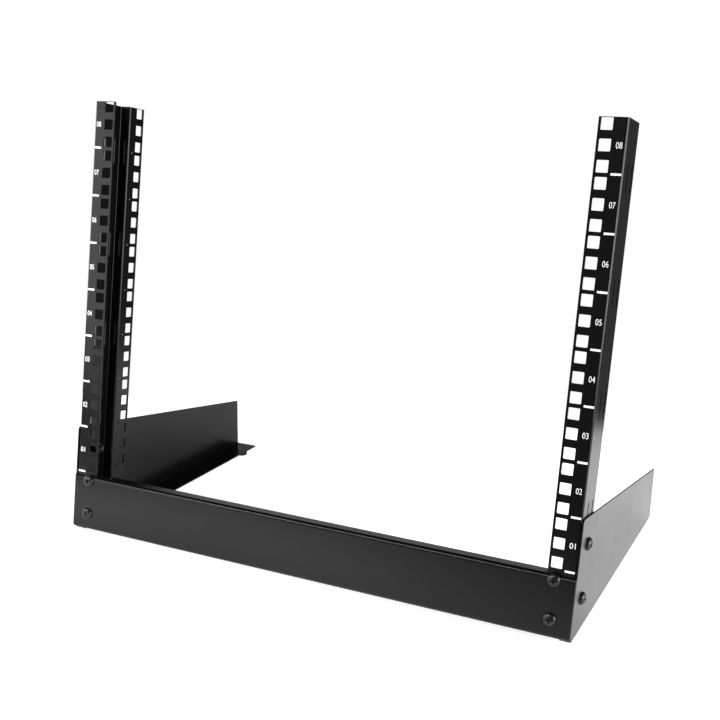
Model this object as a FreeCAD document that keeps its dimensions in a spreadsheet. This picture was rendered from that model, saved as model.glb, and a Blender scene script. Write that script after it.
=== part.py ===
"""Two post open frame desk rack: eight 44.45 mm units between two formed, perforated posts.

The posts, the front bar and their fasteners are drawn in the rack frame, whose origin is the middle
of the lowest unit mark on the posts' front face, with X across, Y into the depth and Z up the posts.
The rack frame leans back over the two tapered legs, which stand level. Sizes are in millimetres.
"""
import FreeCAD, Part
import os
import Sketcher

os.makedirs("parts", exist_ok=True)
doc = FreeCAD.newDocument("open_frame_rack")

# Driving dimensions
sheet = doc.addObject("Spreadsheet::Sheet", "Sizes")
DRIVING_SIZES = {
    "rack_lean": 8.6,
    "unit_height": 44.45,
    "unit_count": 8,
    "hole_low": 6.35,
    "hole_middle": 22.225,
    "hole_high": 38.1,
    "hole_size": 9.5,
    "hole_column_span": 465.1,
    "rail_outer_margin": 16.5,
    "rail_inner_margin": 6.55,
    "post_sheet": 1.5,
    "post_web_depth": 39.0,
    "post_side_inset": 10.2,
    "post_depth": 60.0,
    "post_tail": 46.0,
    "post_top_gap": 1.2,
    "bend_inside": 1.0,
    "side_hole_setback": 6.5,
    "pin_hole_setback": 14.8,
    "pin_hole_size": 2.5,
    "slit_first": 15.3,
    "slit_second": 29.3,
    "slit_length": 23.0,
    "slit_width": 2.5,
    "bar_sheet": 2.5,
    "bar_height": 52.6,
    "bar_drop": 3.2,
    "bar_depth": 15.0,
    "bar_flange_clearance": 2.0,
    "bar_corner": 3.0,
    "bar_end_round": 2.2,
    "bar_screw_high": 7.6,
    "bar_screw_low": 40.0,
    "leg_sheet": 1.5,
    "leg_reach": 297.0,
    "leg_front_rise": 44.45,
    "leg_top_fall": 0.9,
    "leg_drop": 59.4,
    "leg_flange_width": 26.2,
    "leg_flange_setback": 13.0,
    "leg_flange_notch": 16.0,
    "leg_front_corner": 8.0,
    "leg_top_corner": 4.0,
    "leg_rear_corner": 2.5,
    "leg_screw_depth": 23.5,
    "leg_screw_high": 20.3,
    "leg_screw_low": 25.5,
    "screw_hole_size": 6.6,
    "screw_size": 6.0,
    "screw_length": 12.0,
    "screw_head_size": 11.2,
    "screw_head_height": 3.4,
    "screw_recess_length": 5.4,
    "screw_recess_width": 1.1,
    "screw_recess_depth": 1.8,
    "nut_size": 10.0,
    "nut_height": 5.0,
    "thread_clearance": 0.05,
    "foot_size": 12.5,
    "foot_height": 4.8,
    "foot_front_inset": 25.0,
    "foot_rear_inset": 20.0,
    "foot_side_inset": 7.0,
}
for row, (alias, number) in enumerate(DRIVING_SIZES.items(), start=1):
    sheet.set(f"A{row}", alias)
    sheet.set(f"B{row}", str(number))
    sheet.setAlias(f"B{row}", alias)
doc.recompute()


def cell(alias):
    """Return the expression that reads a driving dimension."""
    return f"Sizes.{alias}"


# Places worked out from the driving dimensions, as expressions
POST_OUTSIDE = "(Sizes.hole_column_span / 2 + Sizes.rail_outer_margin)"
POST_LIP = "(Sizes.hole_column_span / 2 - Sizes.rail_inner_margin)"
POST_SIDE = f"({POST_OUTSIDE} - Sizes.post_side_inset)"
HOLE_COLUMN = "(Sizes.hole_column_span / 2)"
HOLE_HALF = "(Sizes.hole_size / 2)"
LEG_OUTSIDE = f"({POST_OUTSIDE} + Sizes.leg_sheet)"
LEG_INNER_EDGE = f"({LEG_OUTSIDE} - Sizes.leg_flange_width)"
LEG_UNDERSIDE = "Sizes.foot_height"
RACK_RISE = "(Sizes.foot_height + Sizes.leg_drop)"
FRONT_REACH = (
    "((Sizes.bar_sheet + Sizes.screw_head_height) * cos(Sizes.rack_lean)"
    " + (Sizes.bar_screw_low + Sizes.screw_head_size / 2) * sin(Sizes.rack_lean))"
)
RACK_START = f"(({FRONT_REACH} - Sizes.leg_reach) / 2)"
LEG_END = f"({RACK_START} + Sizes.leg_reach)"
LEG_TOP_SLOPE = "tan(Sizes.rack_lean + Sizes.leg_top_fall)"


def floor_y(y, z):
    """Return the floor frame's Y of a rack frame point, as an expression."""
    return f"({RACK_START} + ({y}) * cos(Sizes.rack_lean) + ({z}) * sin(Sizes.rack_lean))"


def floor_z(y, z):
    """Return the floor frame's Z of a rack frame point, as an expression."""
    return f"({RACK_RISE} - ({y}) * sin(Sizes.rack_lean) + ({z}) * cos(Sizes.rack_lean))"


def place_on_rack(target, x, y, z, axis, angle):
    """Bind a piece's Placement to a point of the leaning rack frame and a turn about one axis."""
    point = f"vector({x}; {floor_y(y, z)}; {floor_z(y, z)})"
    target.setExpression("Placement", f"placement({point}; rotation(vector({axis}); {angle}))")


def lean_with_rack(target):
    """Bind a piece drawn in the rack frame to that frame's own place and lean."""
    place_on_rack(target, "0", "0", "0", "1; 0; 0", "-Sizes.rack_lean")


def new_body(name):
    """Add an empty body."""
    return doc.addObject("PartDesign::Body", name)


def origin_plane(body, role):
    """Return one of the body's own origin planes."""
    return next(feature for feature in body.Origin.OriginFeatures if feature.Role == role)


def new_sketch(body, name, role):
    """Add a sketch on one of the body's origin planes."""
    sketch = body.newObject("Sketcher::SketchObject", name)
    sketch.AttachmentSupport = [(origin_plane(body, role), "")]
    sketch.MapMode = "FlatFace"
    return sketch


def polygon(sketch, points):
    """Draw a closed outline whose corners are pairs of expressions."""
    numbers = [tuple(float(sketch.evalExpression(value)) for value in point) for point in points]
    first = sketch.GeometryCount
    corners = [FreeCAD.Vector(x, y, 0) for x, y in numbers]
    for start, end in zip(corners, corners[1:] + corners[:1]):
        sketch.addGeometry(Part.LineSegment(start, end), False)
    count = len(points)
    for step in range(count):
        line = first + step
        following = first + (step + 1) % count
        sketch.addConstraint(Sketcher.Constraint("Coincident", line, 2, following, 1))
    for step, ((x, y), (x_number, y_number)) in enumerate(zip(points, numbers)):
        place = (-1, 1, first + step, 1)
        x_index = sketch.addConstraint(Sketcher.Constraint("DistanceX", *place, x_number))
        sketch.setExpression(f"Constraints[{x_index}]", x)
        y_index = sketch.addConstraint(Sketcher.Constraint("DistanceY", *place, y_number))
        sketch.setExpression(f"Constraints[{y_index}]", y)


def rectangle(sketch, left, right, low, high):
    """Draw a rectangle between four expressions."""
    polygon(sketch, [(left, low), (right, low), (right, high), (left, high)])


def centred_rectangle(sketch, x, y, half_width, half_height):
    """Draw a rectangle about a centre."""
    rectangle(
        sketch,
        f"{x} - {half_width}",
        f"{x} + {half_width}",
        f"{y} - {half_height}",
        f"{y} + {half_height}",
    )


def circle(sketch, x, y, radius):
    """Draw a circle whose centre and radius are expressions."""
    numbers = [float(sketch.evalExpression(value)) for value in (x, y, radius)]
    centre = FreeCAD.Vector(numbers[0], numbers[1], 0)
    index = sketch.addGeometry(Part.Circle(centre, FreeCAD.Vector(0, 0, 1), numbers[2]), False)
    for kind, number, value in (("DistanceX", numbers[0], x), ("DistanceY", numbers[1], y)):
        place = sketch.addConstraint(Sketcher.Constraint(kind, -1, 1, index, 3, number))
        sketch.setExpression(f"Constraints[{place}]", value)
    measure = sketch.addConstraint(Sketcher.Constraint("Radius", index, numbers[2]))
    sketch.setExpression(f"Constraints[{measure}]", radius)


def faceted_circle(sketch, x, y, radius, sides):
    """Draw a small hole's round outline with a few straight sides around its centre."""
    turns = [360 * (step + 0.5) / sides for step in range(sides)]
    points = [(f"{x} + {radius} * cos({turn})", f"{y} + {radius} * sin({turn})") for turn in turns]
    polygon(sketch, points)


def pad(body, sketch, name, length):
    """Add material from a sketch over a length."""
    feature = body.newObject("PartDesign::Pad", name)
    feature.Profile = sketch
    feature.setExpression("Length", length)
    sketch.Visibility = False
    return feature


def cut_through(body, sketch, name):
    """Cut a sketch right through the body, both ways, and make sure that it takes material."""
    doc.recompute()
    before = body.Shape.Volume
    feature = body.newObject("PartDesign::Pocket", name)
    feature.Profile = sketch
    feature.Type = "ThroughAll"
    feature.SideType = "Symmetric"
    doc.recompute()
    if not body.Shape.Volume < before:
        raise RuntimeError(f"{body.Name}: {name} removes nothing")
    return feature


def repeat_up(body, feature, name, pitch, count):
    """Repeat a cut up the sketch's vertical axis."""
    pattern = body.newObject("PartDesign::LinearPattern", name)
    pattern.Originals = [feature]
    pattern.Direction = (feature.Profile[0], ["V_Axis"])
    pattern.setExpression("Length", f"({count} - 1) * {pitch}")
    pattern.setExpression("Occurrences", f"{count}")
    body.Tip = pattern
    doc.recompute()
    return pattern


def edges_at(shape, direction, places):
    """Name the straight edges along a direction whose middle lies at one of the places."""
    axes = [axis for axis in range(3) if abs(direction[axis]) < 0.5]
    found = []
    for number, edge in enumerate(shape.Edges, start=1):
        if edge.Curve.TypeId != "Part::GeomLine":
            continue
        along = edge.tangentAt(edge.FirstParameter)
        if abs(along.dot(direction)) < 0.999:
            continue
        middle = edge.CenterOfMass
        for place in places:
            if all(abs(middle[axis] - place[slot]) < 0.01 for slot, axis in enumerate(axes)):
                found.append(f"Edge{number}")
    return found


def round_edges(body, name, direction, places, radius):
    """Round the edges that run along a direction through the given places."""
    doc.recompute()
    base = body.Tip
    numbers = [tuple(float(base.evalExpression(value)) for value in place) for place in places]
    names = edges_at(base.Shape, direction, numbers)
    if len(names) < len(places):
        raise RuntimeError(f"{body.Name}: {name} found {len(names)} of {len(places)} edges")
    fillet = body.newObject("PartDesign::Fillet", name)
    fillet.Base = (base, names)
    fillet.setExpression("Radius", radius)
    doc.recompute()
    return fillet


# Posts: one folded sheet with square holes in the rail and in the stepped side
ALONG_X = FreeCAD.Vector(1, 0, 0)
ALONG_Y = FreeCAD.Vector(0, 1, 0)
ALONG_Z = FreeCAD.Vector(0, 0, 1)
BEND_OUTSIDE = "Sizes.bend_inside + Sizes.post_sheet"
PIN_HOLE_SIDES = 12


def make_right_post():
    """Fold the right post's section, then pierce its rail, side and web."""
    body = new_body("right_post")
    section = new_sketch(body, "right_post_section", "XY_Plane")
    section.setExpression("AttachmentOffset.Base.z", "-Sizes.post_tail")
    web_inside = f"{POST_OUTSIDE} - Sizes.post_sheet"
    side_inside = f"{POST_SIDE} - Sizes.post_sheet"
    step_front = "Sizes.post_web_depth - Sizes.post_sheet"
    outline = [
        (POST_LIP, "0"),
        (POST_OUTSIDE, "0"),
        (POST_OUTSIDE, "Sizes.post_web_depth"),
        (POST_SIDE, "Sizes.post_web_depth"),
        (POST_SIDE, "Sizes.post_depth"),
        (side_inside, "Sizes.post_depth"),
        (side_inside, step_front),
        (web_inside, step_front),
        (web_inside, "Sizes.post_sheet"),
        (POST_LIP, "Sizes.post_sheet"),
    ]
    polygon(section, outline)
    height = "Sizes.unit_count * Sizes.unit_height - Sizes.post_top_gap + Sizes.post_tail"
    pad(body, section, "right_post_fold", height)
    outer_bends = [outline[1], outline[2], outline[6]]
    inner_bends = [outline[3], outline[7], outline[8]]
    round_edges(body, "right_post_outer_bends", ALONG_Z, outer_bends, BEND_OUTSIDE)
    round_edges(body, "right_post_inner_bends", ALONG_Z, inner_bends, "Sizes.bend_inside")

    rail_holes = new_sketch(body, "right_post_rail_hole_outline", "XZ_Plane")
    for level in ("hole_low", "hole_middle", "hole_high"):
        centred_rectangle(rail_holes, HOLE_COLUMN, cell(level), HOLE_HALF, HOLE_HALF)
    rail_cut = cut_through(body, rail_holes, "right_post_rail_hole")
    repeat_up(body, rail_cut, "right_post_rail_holes", "Sizes.unit_height", "Sizes.unit_count")

    side_holes = new_sketch(body, "right_post_side_hole_outline", "YZ_Plane")
    side_column = "(Sizes.post_depth - Sizes.side_hole_setback)"
    for level in ("hole_low", "hole_middle", "hole_high"):
        centred_rectangle(side_holes, side_column, cell(level), HOLE_HALF, HOLE_HALF)
    side_cut = cut_through(body, side_holes, "right_post_side_hole")
    repeat_up(body, side_cut, "right_post_side_holes", "Sizes.unit_height", "Sizes.unit_count")

    pins = new_sketch(body, "right_post_pin_hole_outline", "YZ_Plane")
    pin_column = "Sizes.post_depth - Sizes.pin_hole_setback"
    faceted_circle(pins, pin_column, "0", "Sizes.pin_hole_size / 2", PIN_HOLE_SIDES)
    pin_cut = cut_through(body, pins, "right_post_pin_hole")
    repeat_up(body, pin_cut, "right_post_pin_holes", "Sizes.unit_height", "Sizes.unit_count")

    slits = new_sketch(body, "right_post_slit_outline", "YZ_Plane")
    for column in ("slit_first", "slit_second"):
        centred_rectangle(
            slits,
            cell(column),
            cell("unit_height"),
            "Sizes.slit_width / 2",
            "Sizes.slit_length / 2",
        )
    slit_cut = cut_through(body, slits, "right_post_slit")
    repeat_up(body, slit_cut, "right_post_slits", "2 * Sizes.unit_height", "floor(Sizes.unit_count / 2)")

    bar_bolt = new_sketch(body, "right_post_bar_screw_outline", "XZ_Plane")
    for level in ("bar_screw_high", "bar_screw_low"):
        circle(bar_bolt, HOLE_COLUMN, f"-{cell(level)}", "Sizes.screw_hole_size / 2")
    cut_through(body, bar_bolt, "right_post_bar_screw_holes")

    leg_bolt = new_sketch(body, "right_post_leg_screw_outline", "YZ_Plane")
    for level in LEG_SCREW_LEVELS:
        circle(leg_bolt, "Sizes.leg_screw_depth", level, "Sizes.screw_hole_size / 2")
    cut_through(body, leg_bolt, "right_post_leg_screw_holes")
    lean_with_rack(body)
    return body


# Front bar: a shallow channel whose returned edges stop inside the posts
BAR_TOP = "-Sizes.bar_drop"
BAR_BOTTOM = "-(Sizes.bar_drop + Sizes.bar_height)"
LEG_SCREW_LEVELS = ("Sizes.leg_screw_high", "-Sizes.leg_screw_low")


def make_front_bar():
    """Fold the bar along its top and bottom, relieve its ends, drill it and round its lower corners."""
    fold = new_body("front_bar_fold")
    section = new_sketch(fold, "front_bar_section", "YZ_Plane")
    section.setExpression("AttachmentOffset.Base.z", f"-{LEG_OUTSIDE}")
    front = "-Sizes.bar_sheet"
    rear = "Sizes.bar_depth - Sizes.bar_sheet"
    outline = [
        (front, BAR_BOTTOM),
        (rear, BAR_BOTTOM),
        (rear, f"{BAR_BOTTOM} + Sizes.bar_sheet"),
        ("0", f"{BAR_BOTTOM} + Sizes.bar_sheet"),
        ("0", f"{BAR_TOP} - Sizes.bar_sheet"),
        (rear, f"{BAR_TOP} - Sizes.bar_sheet"),
        (rear, BAR_TOP),
        (front, BAR_TOP),
    ]
    polygon(section, outline)
    pad(fold, section, "front_bar_channel", f"2 * {LEG_OUTSIDE}")
    outer_bend = "Sizes.bend_inside + Sizes.bar_sheet"
    round_edges(fold, "front_bar_outer_bends", ALONG_X, [outline[0], outline[7]], outer_bend)
    round_edges(fold, "front_bar_inner_bends", ALONG_X, [outline[3], outline[4]], "Sizes.bend_inside")

    relief = new_sketch(fold, "front_bar_relief_outline", "XY_Plane")
    flange_end = f"({POST_LIP} - Sizes.bar_flange_clearance)"
    beyond = f"({LEG_OUTSIDE} + Sizes.bar_depth)"
    rectangle(relief, flange_end, beyond, "0", "Sizes.bar_depth")
    rectangle(relief, f"-{beyond}", f"-{flange_end}", "0", "Sizes.bar_depth")
    cut_through(fold, relief, "front_bar_flange_relief")

    drill = new_sketch(fold, "front_bar_screw_outline", "XZ_Plane")
    for side in ("", "-"):
        for level in ("bar_screw_high", "bar_screw_low"):
            circle(drill, f"{side}{HOLE_COLUMN}", f"-{cell(level)}", "Sizes.screw_hole_size / 2")
    cut_through(fold, drill, "front_bar_screw_holes")
    lean_with_rack(fold)

    face = new_body("front_bar_face")
    face_outline = new_sketch(face, "front_bar_face_outline", "XZ_Plane")
    face_outline.setExpression("AttachmentOffset.Base.z", f"-({rear})")
    rectangle(face_outline, f"-{LEG_OUTSIDE}", LEG_OUTSIDE, BAR_BOTTOM, BAR_TOP)
    block = pad(face, face_outline, "front_bar_face_block", "2 * Sizes.bar_depth")
    block.SideType = "Symmetric"
    lower_corners = [(f"{side}{LEG_OUTSIDE}", BAR_BOTTOM) for side in ("", "-")]
    round_edges(face, "front_bar_lower_corners", ALONG_Y, lower_corners, "Sizes.bar_corner")
    end_edges = [(f"{side}{LEG_OUTSIDE}", front) for side in ("", "-")]
    round_edges(face, "front_bar_end_edges", ALONG_Z, end_edges, "Sizes.bar_end_round")
    lean_with_rack(face)

    bar = doc.addObject("Part::MultiCommon", "front_bar")
    bar.Shapes = [fold, face]
    return bar


# Legs: a tapered side plate with its level bottom edge folded inwards
def make_right_leg():
    """Shape the right leg as a folded angle cut to the plate's side outline."""
    angle = new_body("right_leg_fold")
    section = new_sketch(angle, "right_leg_section", "XZ_Plane")
    top = f"({RACK_RISE} + Sizes.leg_front_rise)"
    level_top = f"{LEG_UNDERSIDE} + Sizes.leg_sheet"
    outline = [
        (LEG_INNER_EDGE, LEG_UNDERSIDE),
        (LEG_OUTSIDE, LEG_UNDERSIDE),
        (LEG_OUTSIDE, top),
        (POST_OUTSIDE, top),
        (POST_OUTSIDE, level_top),
        (LEG_INNER_EDGE, level_top),
    ]
    polygon(section, outline)
    fold = pad(angle, section, "right_leg_angle", "2 * Sizes.leg_reach")
    fold.SideType = "Symmetric"
    round_edges(angle, "right_leg_outer_bend", ALONG_Y, [outline[1]], "Sizes.bend_inside + Sizes.leg_sheet")
    round_edges(angle, "right_leg_inner_bend", ALONG_Y, [outline[4]], "Sizes.bend_inside")
    notch = new_sketch(angle, "right_leg_notch_outline", "XY_Plane")
    front = floor_y("0", "-Sizes.leg_drop")
    rectangle(
        notch,
        f"{LEG_INNER_EDGE} - Sizes.leg_sheet",
        f"{LEG_INNER_EDGE} + Sizes.leg_flange_notch",
        f"{front} - Sizes.leg_flange_setback",
        f"{front} + Sizes.leg_flange_setback",
    )
    cut_through(angle, notch, "right_leg_flange_notch")

    side = new_body("right_leg_side")
    profile = new_sketch(side, "right_leg_side_outline", "YZ_Plane")
    profile.setExpression("AttachmentOffset.Base.z", LEG_INNER_EDGE)
    front_foot_drop = "(Sizes.leg_drop / cos(Sizes.rack_lean))"
    top_y = floor_y("0", "Sizes.leg_front_rise")
    top_z = floor_z("0", "Sizes.leg_front_rise")
    corners = [
        (floor_y("0", f"-{front_foot_drop}"), LEG_UNDERSIDE),
        (LEG_END, LEG_UNDERSIDE),
        (LEG_END, f"{top_z} - ({LEG_END} - {top_y}) * {LEG_TOP_SLOPE}"),
        (top_y, top_z),
    ]
    polygon(profile, corners)
    pad(side, profile, "right_leg_side_plate", "2 * Sizes.leg_flange_width")
    round_edges(side, "right_leg_front_corner", ALONG_X, [corners[0]], "Sizes.leg_front_corner")
    round_edges(side, "right_leg_top_corner", ALONG_X, [corners[3]], "Sizes.leg_top_corner")
    round_edges(side, "right_leg_rear_corner", ALONG_X, [corners[2]], "Sizes.leg_rear_corner")

    plate = doc.addObject("Part::MultiCommon", "right_leg_plate")
    plate.Shapes = [angle, side]
    drills = []
    for level in LEG_SCREW_LEVELS:
        drill = doc.addObject("Part::Cylinder", "right_leg_drill")
        drill.setExpression("Radius", "Sizes.screw_hole_size / 2")
        drill.setExpression("Height", "Sizes.leg_flange_width")
        inward = f"{LEG_OUTSIDE} + Sizes.leg_sheet"
        place_on_rack(drill, inward, "Sizes.leg_screw_depth", level, "0; 1; 0", "-90")
        drills.append(drill)
    holes = doc.addObject("Part::MultiFuse", "right_leg_drills")
    holes.Shapes = drills
    leg = doc.addObject("Part::Cut", "right_leg")
    leg.Base = plate
    leg.Tool = holes
    return leg


def mirror_to_left(source, name):
    """Make the left hand piece from the right hand one."""
    left = doc.addObject("Part::Mirroring", name)
    left.Source = source
    left.Normal = ALONG_X
    return left


# Fasteners: pan head screws with a cross recess, and hexagon nuts
def make_screw(name):
    """Turn a pan head screw about Z with its head above Z = 0 and cut its recess."""
    body = new_body(name)
    section = new_sketch(body, f"{name}_section", "XZ_Plane")
    shank = "Sizes.screw_size / 2"
    head = "Sizes.screw_head_size / 2"
    outline = [
        ("0", "-Sizes.screw_length"),
        (shank, "-Sizes.screw_length"),
        (shank, "0"),
        (head, "0"),
        (head, "Sizes.screw_head_height"),
        ("0", "Sizes.screw_head_height"),
    ]
    polygon(section, outline)
    turn = body.newObject("PartDesign::Revolution", f"{name}_turn")
    turn.Profile = section
    turn.ReferenceAxis = (section, ["V_Axis"])
    turn.Angle = 360.0
    doc.recompute()
    recess = new_sketch(body, f"{name}_recess_outline", "XY_Plane")
    recess.setExpression("AttachmentOffset.Base.z", "Sizes.screw_head_height")
    arm = "Sizes.screw_recess_length / 2"
    half = "Sizes.screw_recess_width / 2"
    polygon(
        recess,
        [
            (half, half), (arm, half), (arm, f"-{half}"), (half, f"-{half}"),
            (half, f"-{arm}"), (f"-{half}", f"-{arm}"), (f"-{half}", f"-{half}"), (f"-{arm}", f"-{half}"),
            (f"-{arm}", half), (f"-{half}", half), (f"-{half}", arm), (half, arm),
        ],
    )
    before = body.Shape.Volume
    cross = body.newObject("PartDesign::Pocket", f"{name}_recess")
    cross.Profile = recess
    cross.setExpression("Length", "Sizes.screw_recess_depth")
    doc.recompute()
    if not body.Shape.Volume < before:
        raise RuntimeError(f"{name}: the recess removes nothing")
    return body


def make_nut(name):
    """Make a hexagon nut that stands on Z = 0, bored to clear its screw's thread."""
    prism = doc.addObject("Part::Prism", f"{name}_hexagon")
    prism.Polygon = 6
    prism.setExpression("Circumradius", "Sizes.nut_size / 2 / cos(30)")
    prism.setExpression("Height", "Sizes.nut_height")
    bore = doc.addObject("Part::Cylinder", f"{name}_bore")
    bore.setExpression("Radius", "Sizes.screw_size / 2 + Sizes.thread_clearance")
    bore.setExpression("Height", "Sizes.nut_height")
    nut = doc.addObject("Part::Cut", name)
    nut.Base = prism
    nut.Tool = bore
    return nut


def make_fasteners():
    """Make the bar's and the legs' screws and nuts, on both sides."""
    made = []
    levels = {"upper": 0, "lower": 1}
    for side, sign in (("left", "-"), ("right", "")):
        for level, order in levels.items():
            height = f"-{cell(('bar_screw_high', 'bar_screw_low')[order])}"
            screw = make_screw(f"bar_screw_{side}_{level}")
            front = "-Sizes.bar_sheet"
            turn = "90 - Sizes.rack_lean"
            place_on_rack(screw, f"{sign}{HOLE_COLUMN}", front, height, "1; 0; 0", turn)
            nut = make_nut(f"bar_nut_{side}_{level}")
            rear = "Sizes.post_sheet"
            turn = "-90 - Sizes.rack_lean"
            place_on_rack(nut, f"{sign}{HOLE_COLUMN}", rear, height, "1; 0; 0", turn)
            made.extend([screw, nut])
        for level, order in levels.items():
            height = LEG_SCREW_LEVELS[order]
            screw = make_screw(f"leg_screw_{side}_{level}")
            depth = "Sizes.leg_screw_depth"
            place_on_rack(screw, f"{sign}{LEG_OUTSIDE}", depth, height, "0; 1; 0", f"{sign}90")
            nut = make_nut(f"leg_nut_{side}_{level}")
            inside = f"{sign}({POST_OUTSIDE} - Sizes.post_sheet)"
            turn = "90" if sign else "-90"
            place_on_rack(nut, inside, depth, height, "0; 1; 0", turn)
            made.extend([screw, nut])
    return made


# Feet: rubber discs under the legs' folded edges
def make_feet():
    """Make the four feet under the ends of the legs' folded edges."""
    made = []
    front = floor_y("0", "-Sizes.leg_drop")
    rows = {
        "front": f"{front} + Sizes.foot_front_inset",
        "rear": f"{LEG_END} - Sizes.foot_rear_inset",
    }
    for side, sign in (("left", "-"), ("right", "")):
        for row, depth in rows.items():
            foot = doc.addObject("Part::Cylinder", f"foot_{row}_{side}")
            foot.setExpression("Radius", "Sizes.foot_size / 2")
            foot.setExpression("Height", "Sizes.foot_height")
            foot.setExpression("Placement.Base.x", f"{sign}({LEG_INNER_EDGE} + Sizes.foot_side_inset)")
            foot.setExpression("Placement.Base.y", depth)
            made.append(foot)
    return made


def main():
    """Build every piece, check it and write one file for each."""
    front_bar = make_front_bar()
    right_post = make_right_post()
    right_leg = make_right_leg()
    left_post = mirror_to_left(right_post, "left_post")
    left_leg = mirror_to_left(right_leg, "left_leg")
    pieces = [front_bar, left_post, right_post, left_leg, right_leg]
    pieces += make_fasteners()
    pieces += make_feet()
    doc.recompute()
    for thing in doc.Objects:
        if "Invalid" in thing.State or "Error" in thing.State:
            raise RuntimeError(f"{thing.Name} failed: {thing.State}")
    for piece in pieces:
        piece.Label = piece.Name
        if piece.Shape.isNull() or not piece.Shape.isValid():
            raise RuntimeError(f"{piece.Name} has no valid shape")
        if len(piece.Shape.Solids) != 1:
            raise RuntimeError(f"{piece.Name} has {len(piece.Shape.Solids)} solids")
    for piece in pieces:
        piece.Shape.exportStep(f"parts/{piece.Label}.step")
    print(len(pieces), "pieces written")


main()
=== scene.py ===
"""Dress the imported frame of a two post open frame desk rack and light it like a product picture.

The folded sheets and the nuts are the frame's own meshes, merged and given rounded edges. The screws,
the feet, the unit marks and the unit numbers are modelled here. Lengths are in metres in the row frame.
"""

from __future__ import annotations

import logging
import math
from dataclasses import dataclass, field
from enum import Enum
from typing import Iterable, Mapping, Sequence

import bmesh
import bpy
from mathutils import Matrix, Vector

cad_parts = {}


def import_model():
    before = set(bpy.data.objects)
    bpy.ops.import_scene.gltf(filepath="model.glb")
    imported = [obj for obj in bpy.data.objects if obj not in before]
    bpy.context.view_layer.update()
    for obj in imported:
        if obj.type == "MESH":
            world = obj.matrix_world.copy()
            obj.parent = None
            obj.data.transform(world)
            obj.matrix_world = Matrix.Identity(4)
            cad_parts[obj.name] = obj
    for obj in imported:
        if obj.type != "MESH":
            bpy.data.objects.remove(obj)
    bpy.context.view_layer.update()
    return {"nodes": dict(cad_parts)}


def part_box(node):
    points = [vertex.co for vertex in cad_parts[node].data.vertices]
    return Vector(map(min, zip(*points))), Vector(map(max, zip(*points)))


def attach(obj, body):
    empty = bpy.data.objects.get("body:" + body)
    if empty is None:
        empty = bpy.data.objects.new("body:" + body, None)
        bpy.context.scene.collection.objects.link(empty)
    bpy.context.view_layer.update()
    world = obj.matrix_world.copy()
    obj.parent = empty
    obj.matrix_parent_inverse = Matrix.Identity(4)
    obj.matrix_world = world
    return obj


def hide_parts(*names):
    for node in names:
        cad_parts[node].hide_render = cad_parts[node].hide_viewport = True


log = logging.getLogger("rack")
MM = 0.001
SEAM_GAP = 0.001 * MM
QUARTER_TURN = math.radians(90)
EDGE_WEAR = "edge_wear"


class Slot(Enum):
    """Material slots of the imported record."""

    POWDER_COAT = "powder_coat"
    SCREW_BLACK = "screw_black"
    NUT_BLACK = "nut_black"
    FOOT_RUBBER = "foot_rubber"


class NodeWord(Enum):
    """A choice that is a word in the frame's node names."""

    @property
    def word(self) -> str:
        """Return the word as the node names spell it."""
        return self.name.lower()


class Side(NodeWord):
    """The rack's two sides, by the sign of X."""

    LEFT = -1
    RIGHT = 1


class Level(NodeWord):
    """The two levels of the screws, by their place in a pair of heights."""

    UPPER = 0
    LOWER = 1


class Row(NodeWord):
    """The two rows of feet, counted from the front."""

    FRONT = 0
    REAR = 1


@dataclass(frozen=True)
class RackFrame:
    """The leaning frame of the posts and the bar, as it stands in the row frame.

    Its origin lies in the plane of the rail faces, midway between the posts and level with the foot of
    the lowest unit. X goes across, Y into the depth and Z up the posts. The left leg's box gives its
    place: the origin is leg_reach in front of the leg's rear end and leg_drop above its underside.
    """

    leg_box: tuple[Vector, Vector]
    leg_reach: float = 297.0 * MM
    leg_drop: float = 59.4 * MM
    lean: float = math.radians(8.6)
    unit: float = 44.45 * MM

    def matrix(self) -> Matrix:
        """Work out the transform from the leaning frame to the row frame.

        Returns:
            The transform.
        """
        low, high = self.leg_box
        origin = (0.0, high.y - self.leg_reach, low.z + self.leg_drop)
        return Matrix.Translation(origin) @ Matrix.Rotation(-self.lean, 4, "X")


def add_object(name: str, data: bpy.types.ID) -> bpy.types.Object:
    """Add an object to the scene.

    Args:
        name: The object's name.
        data: Its mesh, light or camera.

    Returns:
        The object.
    """
    made = bpy.data.objects.new(name, data)
    bpy.context.scene.collection.objects.link(made)
    return made


def as_mesh(name: str, shape: bmesh.types.BMesh) -> bpy.types.Mesh:
    """Turn a shape into a mesh.

    Args:
        name: The mesh's name.
        shape: The shape, which is freed.

    Returns:
        The mesh.
    """
    mesh = bpy.data.meshes.new(name)
    shape.to_mesh(mesh)
    shape.free()
    return mesh


def spin_outline(outline: Sequence[tuple[float, float]], steps: int) -> bmesh.types.BMesh:
    """Spin an outline round the Z axis into a closed shape.

    Args:
        outline: Radii and heights, from the axis and back to it.
        steps: The number of sides round the shape.

    Returns:
        The shape.
    """
    shape = bmesh.new()
    verts = [shape.verts.new((radius, 0.0, height)) for radius, height in outline]
    edges = [shape.edges.new(pair) for pair in zip(verts, verts[1:])]
    bmesh.ops.spin(
        shape,
        geom=verts + edges,
        cent=(0, 0, 0),
        axis=(0, 0, 1),
        angle=2 * math.pi,
        steps=steps,
        use_merge=True,
    )
    bmesh.ops.remove_doubles(shape, verts=shape.verts, dist=SEAM_GAP)
    bmesh.ops.recalc_face_normals(shape, faces=shape.faces)
    return shape


def thicken(
    shape: bmesh.types.BMesh,
    faces: Sequence[bmesh.types.BMFace],
    shift: tuple[float, float, float],
) -> list[bmesh.types.BMVert]:
    """Extrude faces into a slab.

    Args:
        shape: The shape to change.
        faces: Its faces to extrude.
        shift: How far the new faces move.

    Returns:
        The vertices of the new faces.
    """
    grown = bmesh.ops.extrude_face_region(shape, geom=faces)
    top = [item for item in grown["geom"] if isinstance(item, bmesh.types.BMVert)]
    bmesh.ops.translate(shape, vec=shift, verts=top)
    return top


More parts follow.
